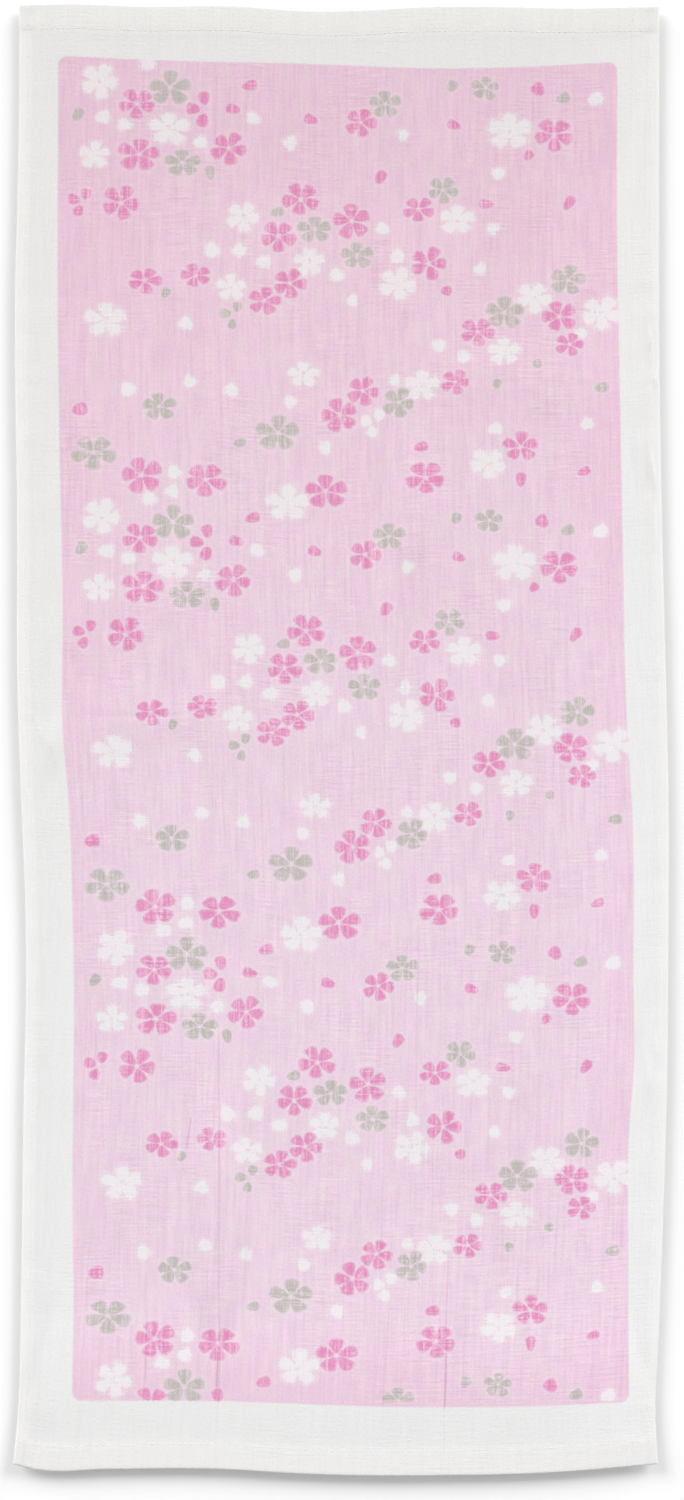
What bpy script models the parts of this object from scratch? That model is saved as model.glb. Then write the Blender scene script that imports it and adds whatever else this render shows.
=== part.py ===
"""A tenugui hand towel of printed cotton gauze, lying open on a table.

One closed solid: the cloth with its four turned and stitched hems. The hems are the cloth itself,
folded under, so they are thicker bands of the same piece and thickest at the corners, where two
of them cross.

Frame: +Z is up off the table, +Y runs along the towel's length, +X across it. The origin is the
middle of the outline, on the table. Metres throughout; the tables are in millimetres and say so.
"""

import math

import bmesh
import bpy
import numpy as np

MM = 0.001

# Driving sizes of the cut cloth, measured hem edge to hem edge.
WIDTH = 352 * MM
LENGTH = 800 * MM
SIDE_HEM = 6.2 * MM
END_HEM = 15 * MM
# Two plies of soft gauze, and what one more turn of a hem adds to them.
CLOTH_THICKNESS = 1.0 * MM
HEM_RISE = 0.55 * MM
# A hem's folded outer edge is rounded over this depth, and its inner edge steps down over this run.
FOLD_DEPTH = 1.0 * MM
HEM_STEP = 1.2 * MM
# The share of the thickness that each side of a folded edge rounds off.
FOLD_ROUNDING = 0.28

# How many equal strips the cloth inside the hems is divided into, for its gentle waves.
FIELD_COLUMNS = 24
FIELD_ROWS = 46

# Where each edge of the laid cloth runs: (distance along it, how far it lies outside the straight
# cut line), in millimetres. Along a side the distance is Y, along an end it is X.
LEFT_SIDE = (
    (-400, 3.1),
    (-386, 1.8),
    (-366, 0.3),
    (-306, -1.2),
    (-197, -2.7),
    (-142, -3.9),
    (-87, -3.3),
    (-33, -1.1),
    (22, 0.7),
    (132, 1.1),
    (186, 1.9),
    (241, 2.1),
    (296, 0.7),
    (351, -0.2),
    (400, -0.1),
)
RIGHT_SIDE = (
    (-400, -3.0),
    (-379, -4.1),
    (-323, -2.2),
    (-252, 0.4),
    (-186, 2.2),
    (-116, 2.8),
    (-33, 2.9),
    (47, 1.1),
    (117, -0.7),
    (210, -2.1),
    (400, -2.1),
)
BOTTOM_END = (
    (-176, -3.9),
    (-163, -0.9),
    (-124, -1.1),
    (-68, -1.3),
    (-20, 1.3),
    (11, 2.3),
    (57, 2.3),
    (120, 0.6),
    (146, -1.3),
    (176, -4.1),
)
TOP_END = (
    (-176, 1.6),
    (-149, 2.3),
    (-107, 1.0),
    (-56, 1.1),
    (-26, -1.1),
    (0, -1.6),
    (24, -0.5),
    (49, 0.7),
    (96, 0.7),
    (120, 0.1),
    (176, 0.9),
)

# The soft waves in which the cloth stands off the table, in millimetres and degrees: the middle of
# the wave, half its length, half its breadth, the turn of its length from +X, and its rise. The
# four longest run on past the cloth, so that all its edges stand up a little, the bottom end most.
WAVE_COLUMNS = ("x", "y", "half_length", "half_breadth", "turn", "rise")
WAVES = (
    (-68, -270, 140, 24, 92, 2.4),
    (59, -330, 75, 22, 88, 1.8),
    (41, 118, 62, 20, 90, 1.5),
    (-112, 13, 72, 26, 2, 0.5),
    (104, 195, 80, 28, -3, 0.5),
    (-162, -10, 42, 14, 78, 1.8),
    (166, 116, 48, 14, 94, 1.8),
    (171, -176, 42, 14, 88, 2.0),
    (-179, -60, 2400, 32, 90, 3.2),
    (179, -40, 2400, 32, 90, 3.2),
    (-179, -400, 70, 48, 60, 3.6),
    (174, -398, 60, 44, -60, 3.6),
    (20, -408, 900, 130, 0, 4.4),
    (10, 408, 900, 130, 0, 2.2),
)


def curve_through(table, along):
    """The smooth curve through a table's points: a cubic between neighbours that keeps their slopes."""
    places = np.array([row[0] for row in table]) * MM
    values = np.array([row[1] for row in table]) * MM
    slopes = np.gradient(values, places)
    along = min(max(along, places[0]), places[-1])
    i = min(int(np.searchsorted(places, along, side="right")) - 1, len(places) - 2)
    span = places[i + 1] - places[i]
    t = (along - places[i]) / span
    rise = values[i + 1] - values[i]
    from_start = values[i] + t * t * (3 - 2 * t) * rise
    bend = t * (1 - t) * ((1 - t) * slopes[i] - t * slopes[i + 1]) * span
    return from_start + bend


def laid_plan(across, along):
    """Where a point of the flat cut cloth lies in plan, shifted by a blend of the two edges it is between."""
    right_share = across / WIDTH + 0.5
    top_share = along / LENGTH + 0.5
    left = curve_through(LEFT_SIDE, along)
    right = curve_through(RIGHT_SIDE, along)
    bottom = curve_through(BOTTOM_END, across)
    top = curve_through(TOP_END, across)
    x = across - left * (1 - right_share) + right * right_share
    y = along - bottom * (1 - top_share) + top * top_share
    return x, y


def wave_lift(x, y):
    """How far the cloth stands off the table: the highest of the waves, each an oval raised cosine."""
    lift = 0.0
    for row in WAVES:
        wave = dict(zip(WAVE_COLUMNS, row))
        turn = math.radians(wave["turn"])
        dx = x - wave["x"] * MM
        dy = y - wave["y"] * MM
        lengthways = (dx * math.cos(turn) + dy * math.sin(turn)) / (wave["half_length"] * MM)
        crossways = (dy * math.cos(turn) - dx * math.sin(turn)) / (wave["half_breadth"] * MM)
        reach = math.hypot(lengthways, crossways)
        if reach < 1:
            lift = max(lift, wave["rise"] * MM * 0.5 * (1 + math.cos(math.pi * reach)))
    return lift


def hem_share(from_edge, hem):
    """1 on a hem and 0 on the cloth inside it, with a short step between them."""
    return min(max((hem + HEM_STEP / 2 - from_edge) / HEM_STEP, 0), 1)


def thickness(across, along):
    """The cloth's thickness, with one more turn on each hem and two where hems cross."""
    side = hem_share(WIDTH / 2 - abs(across), SIDE_HEM)
    end = hem_share(LENGTH / 2 - abs(along), END_HEM)
    return CLOTH_THICKNESS + HEM_RISE * (side + end)


def surface_point(across, along, on_top):
    """A point of the laid cloth's upper or under surface, rounded off at the folded edge."""
    x, y = laid_plan(across, along)
    thick = thickness(across, along)
    from_edge = min(WIDTH / 2 - abs(across), LENGTH / 2 - abs(along))
    rounding = thick * FOLD_ROUNDING if from_edge < FOLD_DEPTH / 2 else 0.0
    level = thick - rounding if on_top else rounding
    return x, y, wave_lift(x, y) + level


def lines_across(size, hem, field_lines):
    """Places of the grid lines from one edge to the other: the fold, the hem, its step and the field."""
    half = size / 2
    step_out = half - hem + HEM_STEP / 2
    step_in = half - hem - HEM_STEP / 2
    field = np.linspace(-step_in, step_in, field_lines + 1)
    outer = [half, half - FOLD_DEPTH, step_out]
    return [-place for place in outer] + [float(place) for place in field] + outer[::-1]


def cloth_layer(bm, columns, rows, on_top):
    """One surface of the towel, as a grid of points and its four-sided faces, facing out."""
    grid = [[bm.verts.new(surface_point(c, r, on_top)) for r in rows] for c in columns]
    for i in range(len(columns) - 1):
        for j in range(len(rows) - 1):
            corners = [grid[i][j], grid[i + 1][j], grid[i + 1][j + 1], grid[i][j + 1]]
            bm.faces.new(corners if on_top else corners[::-1])
    return grid


def border(grid):
    """The outermost points of a grid in order, anticlockwise seen from above."""
    bottom = [column[0] for column in grid]
    right = grid[-1][1:]
    top = [column[-1] for column in grid[-2::-1]]
    left = grid[0][-2:0:-1]
    return bottom + right + top + left


def build_towel():
    """The towel's mesh: the upper and under surfaces, joined all round by the folded edge."""
    columns = lines_across(WIDTH, SIDE_HEM, FIELD_COLUMNS)
    rows = lines_across(LENGTH, END_HEM, FIELD_ROWS)
    bm = bmesh.new()
    upper = border(cloth_layer(bm, columns, rows, True))
    under = border(cloth_layer(bm, columns, rows, False))
    for i in range(len(upper)):
        j = (i + 1) % len(upper)
        bm.faces.new([under[i], under[j], upper[j], upper[i]])
    mesh = bpy.data.meshes.new("towel")
    bm.to_mesh(mesh)
    bm.free()
    mesh.shade_smooth()
    mesh.set_sharp_from_angle(angle=math.radians(40))
    return mesh


def gauze_material():
    """Soft cotton gauze, in the mean colour of its pale pink ground and white border."""
    material = bpy.data.materials.new("printed_gauze")
    material.use_nodes = True
    shader = material.node_tree.nodes["Principled BSDF"]
    shader.inputs["Base Color"].default_value = (0.78, 0.62, 0.70, 1)
    shader.inputs["Roughness"].default_value = 0.9
    shader.inputs["Metallic"].default_value = 0
    return material


def main():
    for old in list(bpy.data.objects):
        bpy.data.objects.remove(old)
    towel = bpy.data.objects.new("towel", build_towel())
    towel.data.materials.append(gauze_material())
    bpy.context.scene.collection.objects.link(towel)


main()
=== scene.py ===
# %% [markdown]
# # A printed gauze hand towel, lying open
#
# This lesson dresses a plain solid of a towel. The real thing is one rectangle of soft cotton gauze,
# about 35 by 80 cm, printed with small blossoms on a pale pink ground inside a white border. Its four
# edges are turned under twice and stitched. It lies flat, so nearly all of its character is in small
# things: edges that wander by a few millimetres, hems a little thicker than the cloth, faint
# creases, the weave, and ink that follows the threads.
#
# Sizes are in metres, and the tables that are read off the towel are in millimetres and say so.

# %% The frame that the towel is made round
import math

import bpy
import numpy as np
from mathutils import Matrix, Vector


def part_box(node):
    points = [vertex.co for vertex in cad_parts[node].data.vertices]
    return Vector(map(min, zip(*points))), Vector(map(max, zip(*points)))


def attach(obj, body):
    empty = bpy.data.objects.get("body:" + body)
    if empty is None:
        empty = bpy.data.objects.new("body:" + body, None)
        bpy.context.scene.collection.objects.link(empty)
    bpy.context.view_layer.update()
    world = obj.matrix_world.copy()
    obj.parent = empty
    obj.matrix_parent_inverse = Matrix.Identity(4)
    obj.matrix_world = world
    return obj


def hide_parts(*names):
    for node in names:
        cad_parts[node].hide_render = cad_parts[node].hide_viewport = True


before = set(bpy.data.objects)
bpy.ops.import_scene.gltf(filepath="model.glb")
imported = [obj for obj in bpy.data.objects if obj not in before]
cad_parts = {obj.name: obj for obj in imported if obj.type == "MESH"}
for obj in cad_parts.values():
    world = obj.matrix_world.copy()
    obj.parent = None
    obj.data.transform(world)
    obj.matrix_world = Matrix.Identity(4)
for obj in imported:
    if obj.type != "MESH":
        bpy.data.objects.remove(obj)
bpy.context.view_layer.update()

MM = 0.001
towel_low, towel_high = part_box("towel")
print("solid towel, mm:", [round(v / MM, 1) for v in towel_high - towel_low])

# %% [markdown]
# ## The cut cloth and its two kinds of hem
#
# The cloth is measured as a maker would: its width and length from fold to fold, and how much is
# turned under along the sides and the ends. Everything later is worked out from these few sizes. A
# point of the cloth is named by how far across and how far along the flat cut cloth it is, from the
# middle. That way the weave, the hems and the stitches all follow the cloth when it is laid unevenly.

# %% Driving sizes
WIDTH = 352 * MM
LENGTH = 800 * MM
SIDE_HEM = 6.2 * MM
END_HEM = 15 * MM
CLOTH_THICKNESS = 1.0 * MM
HEM_RISE = 0.55 * MM
FOLD_RADIUS = 0.9 * MM
print("cut cloth, square metres:", round(WIDTH * LENGTH, 4))

# %% [markdown]
# ## How the edges wander
#
# A pressed gauze towel is never a true rectangle. Each edge is given as a short table: how far along
# it one is, and how far it lies outside its straight cut line there. A smooth curve goes through the
# points. A ruler-straight edge would be quicker, but the gentle bows are what makes the outline read
# as cloth. The same tables shape the solid, so the two outlines agree.

# %% The four edges, as (distance along, distance outside the cut line) in millimetres
LEFT_SIDE = (
    (-400, 3.1), (-386, 1.8), (-366, 0.3), (-306, -1.2), (-197, -2.7), (-142, -3.9), (-87, -3.3),
    (-33, -1.1), (22, 0.7), (132, 1.1), (186, 1.9), (241, 2.1), (296, 0.7), (351, -0.2), (400, -0.1),
)
RIGHT_SIDE = (
    (-400, -3.0), (-379, -4.1), (-323, -2.2), (-252, 0.4), (-186, 2.2), (-116, 2.8), (-33, 2.9),
    (47, 1.1), (117, -0.7), (210, -2.1), (400, -2.1),
)
BOTTOM_END = (
    (-176, -3.9), (-163, -0.9), (-124, -1.1), (-68, -1.3), (-20, 1.3), (11, 2.3), (57, 2.3), (120, 0.6),
    (146, -1.3), (176, -4.1),
)
TOP_END = (
    (-176, 1.6), (-149, 2.3), (-107, 1.0), (-56, 1.1), (-26, -1.1), (0, -1.6), (24, -0.5), (49, 0.7),
    (96, 0.7), (120, 0.1), (176, 0.9),
)


def curve_through(table, along):
    """The smooth curve through a table's points, at every place in an array: between two points it is
    the cubic that meets both with the slope that their neighbours give, and past the ends it is level."""
    points = np.array(table, float) * MM
    places, values = points[:, 0], points[:, 1]
    slopes = np.gradient(values, places)
    along = np.clip(along, places[0], places[-1])
    i = np.clip(np.searchsorted(places, along, side="right") - 1, 0, len(places) - 2)
    span = places[i + 1] - places[i]
    t = (along - places[i]) / span
    blended = values[i] + t * t * (3 - 2 * t) * (values[i + 1] - values[i])
    return blended + t * (1 - t) * ((1 - t) * slopes[i] - t * slopes[i + 1]) * span


def laid_plan(across, along):
    """Where points of the cut cloth lie in plan: each moves by a blend of what the two edges that it is
    between do, in proportion to how near it is to each."""
    right_light_share = across / WIDTH + 0.5
    top_share = along / LENGTH + 0.5
    left = curve_through(LEFT_SIDE, along)
    right = curve_through(RIGHT_SIDE, along)
    bottom = curve_through(BOTTOM_END, across)
    top = curve_through(TOP_END, across)
    x = across - left * (1 - right_light_share) + right * right_light_share
    y = along - bottom * (1 - top_share) + top * top_share
    return x, y


middle_left, _ = laid_plan(np.array([-WIDTH / 2]), np.array([0.0]))
print("left edge at mid length, mm:", round(float(middle_left[0]) / MM, 1))

# %% [markdown]
# ## Waves, creases and puckers
#
# The cloth stands off the table in low, broad waves of a few millimetres, which the solid has too.
# The last six lift the edges and the lower corners, the lower end most. The four long ones run on
# past the cloth, so that an edge stands up evenly. On the waves come the things that the eye reads as
# cloth: long pressed fold lines a fraction of a millimetre deep, short soft crinkles beside the hems,
# and small puckers where the stitching draws the gauze in. A cloth simulation of a sheet this flat
# would give creases in places of its own, so the main ones are listed as rows with a place, a
# length, a breadth and a rise.

# %% Broad waves, in millimetres and degrees: x, y, half length, half breadth, turn, rise
WAVES = (
    (-68, -270, 140, 24, 92, 2.4),
    (59, -330, 75, 22, 88, 1.8),
    (41, 118, 62, 20, 90, 1.5),
    (-112, 13, 72, 26, 2, 0.5),
    (104, 195, 80, 28, -3, 0.5),
    (-162, -10, 42, 14, 78, 1.8),
    (166, 116, 48, 14, 94, 1.8),
    (171, -176, 42, 14, 88, 2.0),
    (-179, -60, 2400, 32, 90, 3.2),
    (179, -40, 2400, 32, 90, 3.2),
    (-179, -400, 70, 48, 60, 3.6),
    (174, -398, 60, 44, -60, 3.6),
    (20, -408, 900, 130, 0, 4.4),
    (10, 408, 900, 130, 0, 2.2),
)

# Creases, with the same columns. A negative rise is a trough.
CREASES = (
    (-70, -200, 70, 1.9, 90.6, -0.45),
    (-67, -330, 85, 1.9, 91.8, -0.55),
    (58.6, -336, 52, 1.8, 89, -0.45),
    (41.6, 86, 52, 1.7, 89, -0.35),
    (40.2, -30, 75, 1.7, 90, -0.35),
    (41.4, -112, 22, 1.7, 90, -0.30),
    (-83.4, -214.5, 9, 1.5, 83, 0.4),
    (-112, 12.6, 60, 2.6, 1, -0.16),
    (104, 194.6, 66, 2.6, -2, -0.12),
    (-163, 0.5, 15, 2.2, 106, 0.9),
    (-159.5, -6, 17, 1.8, 102, -0.8),
    (-160.5, 1.5, 12, 1.6, 104, 0.6),
    (-165.5, 45, 11, 1.8, 96, 0.5),
    (-164, -30, 14, 2.0, 98, -0.5),
    (168.4, 218, 8, 1.9, 92, 0.7),
    (172, 196, 9, 1.9, 98, 0.6),
    (170.5, 146, 24, 1.7, 100, 0.8),
    (168.2, 140, 22, 1.8, 98, -0.5),
    (171.5, 116, 18, 1.7, 94, 0.6),
    (159.5, 146, 20, 3.0, 91, -0.5),
    (161.6, -172, 28, 3.2, 88, -0.7),
    (168, -186, 18, 4.0, 84, 1.0),
    (171.5, -168, 10, 2.0, 96, 0.6),
    (174.2, -178, 9, 1.6, 92, -0.5),
    (170, -34, 14, 1.9, 93, -0.4),
    (164, 44, 10, 2.0, 94, 0.4),
)


def ovals(x, y, table, combine):
    """The heights of a table of ovals, each a raised cosine of the distance from its middle, measured
    in half lengths along its turn and half breadths across it."""
    height = np.zeros_like(x)
    for middle_x, middle_y, half_length, half_breadth, turn, rise in table:
        turn = math.radians(turn)
        dx = x - middle_x * MM
        dy = y - middle_y * MM
        lengthways = (dx * math.cos(turn) + dy * math.sin(turn)) / (half_length * MM)
        crossways = (dy * math.cos(turn) - dx * math.sin(turn)) / (half_breadth * MM)
        reach = np.minimum(np.hypot(lengthways, crossways), 1)
        height = combine(height, rise * MM * 0.5 * (1 + np.cos(math.pi * reach)))
    return height


RIPPLE_SINES = 4
RIPPLE_FULL = 2.4
LEAST_PITCH, GREATEST_PITCH = 0.6, 1.9


def ripple(place, pitch, seed):
    """An uneven wave between about -1 and 1: four sines of pitches near the given one, added."""
    rng = np.random.default_rng(seed)
    pitches = pitch * rng.uniform(LEAST_PITCH, GREATEST_PITCH, RIPPLE_SINES)
    starts = rng.uniform(0, 2 * math.pi, RIPPLE_SINES)
    return sum(np.sin(2 * math.pi * place / p + s) for p, s in zip(pitches, starts)) / RIPPLE_FULL


def smooth_step(value, start, end):
    """0 before start, 1 past end and an S-shaped rise between them."""
    t = np.clip((value - start) / (end - start), 0, 1)
    return t * t * (3 - 2 * t)


print("waves:", len(WAVES), "creases:", len(CREASES))

# %% [markdown]
# ## The profile of a turned hem
#
# A hem is the cloth folded under twice and stitched near its inner edge. From the fold inwards the
# upper face is round at the fold, slightly puffed, pinched along the stitches, and then comes down to
# the single cloth in a soft slope. The end hems are broader and pressed flatter. Below, the inner
# edge of the turned layers is a small step. The two faces are heights above the table worked out from
# the distance to the nearest edges. They meet on the fold, so the cloth is one closed skin.

# %% Heights of the upper and under face
SIDE_STEP = 4.6 * MM
END_STEP = 8.0 * MM
UNDER_STEP = 0.7 * MM
END_RISE_SHARE = 0.4
BRIDGE_SHARE = 0.4
BRIDGE_REACH = 8 * MM
STITCH_INSET = 1.4 * MM
STITCH_DEPTH = 0.08 * MM
STITCH_BREADTH = 0.55 * MM
HEM_PUFF = 0.12 * MM
PUCKER_RISE = 0.10 * MM
PUCKER_PITCH = 13 * MM
PUCKER_REACH = 7 * MM
FIELD_UNEVENNESS = 0.16 * MM
FIELD_PITCHES = (47 * MM, 61 * MM)
FIELD_LEANS = (0.4, 0.3)
SIDE_SEED, END_SEED, ACROSS_SEED, ALONG_SEED = 3, 4, 5, 6


def hem_profile(from_edge, hem, step, rise, along_edge, seed):
    """What one hem adds to the upper and under face: a soft step up over its layers, the slope with
    which the cloth bridges down from them, a pinch at the stitches, a puff and the puckers."""
    layered = 1 - smooth_step(from_edge, hem - step / 2, hem + step / 2)
    under_layers = 1 - smooth_step(from_edge, hem - UNDER_STEP, hem)
    bridge = BRIDGE_SHARE * rise * np.exp(-np.maximum(from_edge - hem, 0) / BRIDGE_REACH)
    stitch = np.exp(-(((from_edge - hem + STITCH_INSET) / STITCH_BREADTH) ** 2))
    stitch = stitch * STITCH_DEPTH * rise / HEM_RISE
    puff = HEM_PUFF * rise / HEM_RISE * np.sin(math.pi * np.clip(from_edge / hem, 0, 1))
    pucker = np.exp(-np.abs(from_edge - hem) / PUCKER_REACH) * PUCKER_RISE
    pucker = pucker * ripple(along_edge, PUCKER_PITCH, seed)
    upper = rise * layered * (1 - BRIDGE_SHARE) + bridge * (1 - layered)
    upper = upper + rise * BRIDGE_SHARE * layered + puff + pucker - stitch
    under = bridge * (1 - under_layers) + np.maximum(pucker, 0) * (1 - under_layers)
    return upper, under + 0.5 * stitch


def faces_at(across, along):
    """(x, y, upper height, under height) of points of the cut cloth as laid on the table."""
    x, y = laid_plan(across, along)
    from_side = WIDTH / 2 - np.abs(across)
    from_end = LENGTH / 2 - np.abs(along)
    end_rise = END_RISE_SHARE * HEM_RISE
    side_up, side_under = hem_profile(from_side, SIDE_HEM, SIDE_STEP, HEM_RISE, along, SIDE_SEED)
    end_up, end_under = hem_profile(from_end, END_HEM, END_STEP, end_rise, across, END_SEED)
    uneven = FIELD_UNEVENNESS * ripple(x + FIELD_LEANS[0] * y, FIELD_PITCHES[0], ACROSS_SEED)
    uneven = uneven * ripple(y - FIELD_LEANS[1] * x, FIELD_PITCHES[1], ALONG_SEED)
    under = side_under + end_under + np.abs(uneven)
    upper = CLOTH_THICKNESS + side_up + end_up + np.abs(uneven)
    crease = ovals(x, y, CREASES, np.add)
    upper = upper + crease
    under = under + np.maximum(crease, 0)
    lift = ovals(x, y, WAVES, np.maximum)
    middle = (upper + under) / 2 + lift
    half = (upper - under) / 2
    for distance in (from_side, from_end):
        inward = np.clip(distance / FOLD_RADIUS, 0, 1)
        half = half * np.sqrt(1 - (1 - inward) ** 2)
    return x, y, middle + half, middle - half


_, _, hem_top, _ = faces_at(np.array([-WIDTH / 2 + 3 * MM]), np.array([0.2]))
_, _, field_top, _ = faces_at(np.array([0.1]), np.array([-0.1]))
print("hem and field tops, mm:", round(hem_top[0] / MM, 2), round(field_top[0] / MM, 2))

# %% [markdown]
# ## A grid that is fine where the shape is fine
#
# The field needs a point every few millimetres, but a hem's fold, pinch and step need several
# points to the millimetre. So the grid's lines are not evenly spaced: they crowd at the hems and
# along the pressed fold lines, and the count stays small. The upper and under grids share their
# outermost points, which closes the skin along the fold.

# %% Lines of the grid, in millimetres from the edge and from the middle
COLUMN_PITCH = 2.4 * MM
ROW_PITCH = 4.4 * MM
SIDE_LINES = (0, 0.06, 0.22, 0.5, 0.9, 1.8, 2.9, 3.7, 4.3, 4.8, 5.3, 5.9, 6.6, 7.4, 8.8, 11)
END_LINES = (0, 0.06, 0.22, 0.5, 0.9, 2, 4, 6.5, 9, 11.2, 12.6, 13.1, 13.6, 14.1, 14.8, 15.6, 16.4, 18, 21)
CLOSE_COLUMNS = ((-165, -156), (-73, -64), (37.5, 46), (54, 63), (157, 165))
CLOSE_ROWS = ((8, 17), (190, 199))
CLOSE_PITCH = 1.4 * MM


def grid_lines(size, edge_lines, pitch, close_bands):
    """Places of the grid lines from edge to edge: the hem's own, an even field, and closer ones in
    the bands where creases run."""
    outer = np.array(edge_lines) * MM
    inner = size / 2 - outer[-1]
    field = np.linspace(-inner, inner, int(round(2 * inner / pitch)) + 1)[1:-1]
    for first, last in close_bands:
        start, end = first * MM, last * MM
        field = field[(field < start - pitch / 3) | (field > end + pitch / 3)]
        field = np.concatenate([field, np.arange(start, end, CLOSE_PITCH)])
    return np.concatenate([outer - size / 2, np.sort(field), size / 2 - outer[::-1]])


columns = grid_lines(WIDTH, SIDE_LINES, COLUMN_PITCH, CLOSE_COLUMNS)
rows = grid_lines(LENGTH, END_LINES, ROW_PITCH, CLOSE_ROWS)
across, along = np.meshgrid(columns, rows, indexing="ij")
plan_x, plan_y, upper_z, under_z = faces_at(across, along)
print("grid lines:", len(columns), "by", len(rows))

# %% The closed skin of the cloth
n_across, n_along = across.shape
upper_index = np.arange(n_across * n_along).reshape(n_across, n_along)
inside = (slice(1, -1), slice(1, -1))
under_index = upper_index.copy()
under_count = (n_across - 2) * (n_along - 2)
under_index[inside] = upper_index.size + np.arange(under_count).reshape(n_across - 2, n_along - 2)
upper_points = np.stack([plan_x, plan_y, upper_z], -1).reshape(-1, 3)
under_points = np.stack([plan_x[inside], plan_y[inside], under_z[inside]], -1).reshape(-1, 3)
cloth_points = np.concatenate([upper_points, under_points])


def quads(index, facing_up):
    """The four corners of every cell of a grid of point numbers, anticlockwise from outside."""
    ring = [index[:-1, :-1], index[1:, :-1], index[1:, 1:], index[:-1, 1:]]
    cells = np.stack(ring if facing_up else ring[::-1], -1)
    return cells.reshape(-1, 4)


def mesh_piece(name, points, faces):
    """A smooth-shaded mesh object at the origin, from an array of points and a list of faces."""
    mesh = bpy.data.meshes.new(name)
    mesh.from_pydata(points.tolist(), [], faces)
    mesh.validate()
    mesh.shade_smooth()
    piece = bpy.data.objects.new(name, mesh)
    bpy.context.scene.collection.objects.link(piece)
    return piece


cloth_faces = np.concatenate([quads(upper_index, True), quads(under_index, False)])
cloth = mesh_piece("towel_cloth", cloth_points, cloth_faces.tolist())
print("cloth triangles:", 2 * len(cloth.data.polygons))

# %% [markdown]
# ## Where the print lies
#
# The pink ground is a rectangle with softly rounded corners, printed a little askew, so the white
# border is wider at the lower left and narrower at the lower right. Four short tables give its edges
# in plan. Each point of the cloth then stores how far inside them it is, and the material turns that
# into a soft ink edge. Painting the edge into the faces instead would show the grid's steps.

# %% The print's edges, in millimetres: (place along the edge, place of the edge)
PRINT_LEFT = (
    (-362, -147), (-300, -146.4), (-245, -147), (-142, -146.2), (-91, -147), (-35, -149.1), (1, -152),
    (77, -152.3), (156, -154), (238, -155), (372, -154.6),
)
PRINT_RIGHT = (
    (-362, 157.4), (-294, 157.3), (-213, 157.7), (-175, 160.5), (-144, 160.1), (-33, 159.1), (12, 156.3),
    (103, 154.2), (186, 152.7), (266, 151.2), (372, 151),
)
PRINT_TOP = (
    (-155, 373.7), (-110, 371.7), (-85, 370.8), (-26, 369.5), (0, 368.6), (48, 366.9), (96, 367.5),
    (152, 370.4),
)
PRINT_BOTTOM = (
    (-146, -361.5), (-66, -361.8), (28, -364.8), (124, -363.9), (157, -362.2),
)


def inside_print(x, y):
    """How far places lie inside the print's side edges and inside its end edges."""
    sideways = np.minimum(x - curve_through(PRINT_LEFT, y), curve_through(PRINT_RIGHT, y) - x)
    lengthways = np.minimum(y - curve_through(PRINT_BOTTOM, x), curve_through(PRINT_TOP, x) - y)
    return sideways, lengthways


inside_sideways, inside_lengthways = inside_print(plan_x, plan_y)
from_side = WIDTH / 2 - np.abs(across)
from_end = LENGTH / 2 - np.abs(along)
inside_hem = np.maximum(SIDE_HEM - from_side, END_HEM - from_end)
print("print's greatest breadth, mm:", round(float(np.ptp(plan_x[inside_sideways > 0])) / MM, 1))


def on_both_faces(values):
    """A grid of values for the upper points, followed by those of the under face's own points."""
    flat = values.reshape(n_across, n_along, -1)
    return np.concatenate([flat.reshape(-1, flat.shape[-1]), flat[inside].reshape(under_count, -1)])


def store(piece, name, domain, values):
    """Stores three numbers for each point or face corner under a name that a material can read."""
    layer = piece.data.attributes.new(name, "FLOAT_VECTOR", domain)
    layer.data.foreach_set("vector", values.astype(np.float32).ravel())


is_under = (np.arange(len(cloth_points)) >= upper_index.size).astype(float)
cut_place = np.column_stack([on_both_faces(np.stack([across, along], -1)), is_under])
print_place = on_both_faces(np.stack([inside_sideways, inside_lengthways, inside_hem], -1))
store(cloth, "cut_place", "POINT", cut_place)
store(cloth, "print_place", "POINT", print_place)

# %% [markdown]
# ## A flat map of the cloth
#
# A baked picture of the cloth needs a flat map. The cut cloth is flat already, so its own two
# measures are the map: the front on the left two thirds and the under face on the right. The thin
# outermost cells are given a little width, so that no part of the picture is thinner than a dot.

# %% The map
MAP_LEAST_CELL = 0.35 * MM
MAP_SPANS = ((0.01, 0.65), (0.68, 0.98))
MAP_FOOT, MAP_HEIGHT = 0.01, 0.98


def map_lines(lines):
    """Places of the grid lines in the map, from 0 to 1, with thin cells widened."""
    steps = np.maximum(np.diff(lines), MAP_LEAST_CELL)
    return np.concatenate([[0], np.cumsum(steps)]) / steps.sum()


map_rows = MAP_FOOT + MAP_HEIGHT * map_lines(rows)
map_u, map_v = np.meshgrid(map_lines(columns), map_rows, indexing="ij")
map_corners = []
for (first, last), facing_up in zip(MAP_SPANS, (True, False)):
    flat = np.stack([first + (last - first) * map_u, map_v], -1).reshape(-1, 2)
    map_corners.append(flat[quads(upper_index, facing_up)])
map_layer = cloth.data.uv_layers.new(name="OFBake")
map_layer.data.foreach_set("uv", np.concatenate(map_corners).astype(np.float32).ravel())
print("map spans:", MAP_SPANS)

# %% [markdown]
# ## The blossom chart
#
# Scattered five-petalled cherry blossoms and loose petals are an old and common motif on such cloth.
# The design repeats along the cloth and not across it, so one repeat is charted in millimetres,
# as read with a ruler on the middle of the towel. For each ink a row gives the place, the breadth
# from tip to tip, how much the blossom is squashed lengthways, and the direction of one petal.
# Loose petals have a length and a breadth of their own. A loop then lays the chart along the
# cloth, follows the bends of the print, and draws it up a little at the upper left corner.

# %% One repeat of the print, in millimetres and degrees
REPEAT = 236.3 * MM
REPEAT_START = -0.9 * MM
REPEATS = range(-2, 3)
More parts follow.
